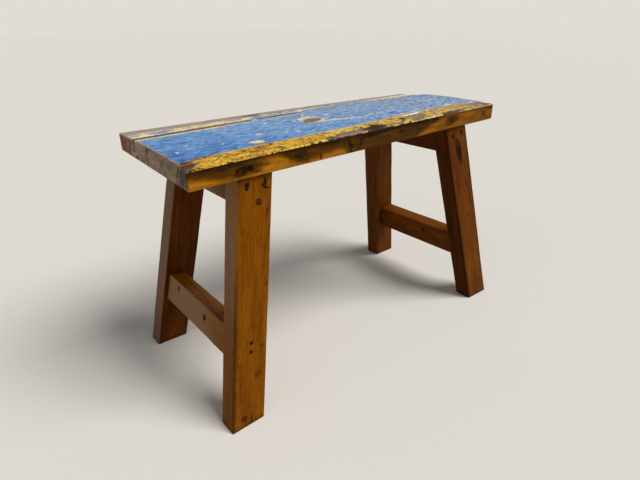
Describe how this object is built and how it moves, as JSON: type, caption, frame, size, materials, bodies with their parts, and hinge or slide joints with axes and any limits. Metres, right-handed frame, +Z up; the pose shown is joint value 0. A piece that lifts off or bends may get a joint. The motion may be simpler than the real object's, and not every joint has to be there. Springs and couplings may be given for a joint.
{
  "type": "wooden bench",
  "caption": "Rustic bench with a worn blue and yellow painted plank seat on splayed A-shaped end frames of lacquered reclaimed timber.",
  "frame": {"origin": "on the floor, under the middle of the plank", "axes": "+X along the plank to the right end, +Y to the back, +Z up; the front faces -Y"},
  "size_m": [0.7236, 0.3574, 0.4577],
  "materials": {
    "painted_plank": "worn paint under thin lacquer",
    "frame_timber": "satin lacquer",
    "plug_wood": "satin lacquer",
    "screw_steel": "darkened"
  },
  "bodies": {
    "root": {"hole_plugs": "plug_wood", "leg_front_left": "frame_timber", "leg_front_right": "frame_timber", "leg_rear_left": "frame_timber", "leg_rear_right": "frame_timber", "rail_left": "frame_timber", "rail_right": "frame_timber", "rail_screws_front_left": "screw_steel", "rail_screws_front_right": "screw_steel", "rail_screws_rear_left": "screw_steel", "rail_screws_rear_right": "screw_steel", "seat_plank": "painted_plank", "seat_screws_left": "screw_steel", "seat_screws_right": "screw_steel", "stretcher_left": "frame_timber", "stretcher_right": "frame_timber", "stretcher_screws_front_left": "screw_steel", "stretcher_screws_front_right": "screw_steel", "stretcher_screws_rear_left": "screw_steel", "stretcher_screws_rear_right": "screw_steel"}
  },
  "joints": []
}
